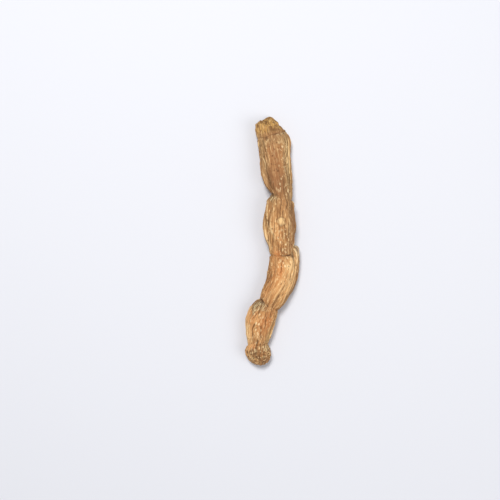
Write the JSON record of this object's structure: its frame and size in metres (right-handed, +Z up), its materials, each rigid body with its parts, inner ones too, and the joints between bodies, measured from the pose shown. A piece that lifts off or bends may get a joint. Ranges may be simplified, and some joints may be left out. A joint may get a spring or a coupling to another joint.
{
  "type": "sweet flag rhizome",
  "caption": "Dried rhizome in a slight S-bend, with ring-like leaf scars, lengthwise drying ridges, round root scars underneath, a slanting broken end and a blunt old end.",
  "frame": {"origin": "middle of the footprint, on the surface that the rhizome lies on", "axes": "+Z up, away from the surface; +Y along the rhizome towards its broken end; +X to the side on which the third ring's leaf-base scale stands"},
  "size_m": [0.0228, 0.105, 0.0123],
  "materials": {
    "rhizome_skin": "dry, matt, wrinkled skin"
  },
  "bodies": {
    "root": {"rhizome": "rhizome_skin"}
  },
  "joints": []
}
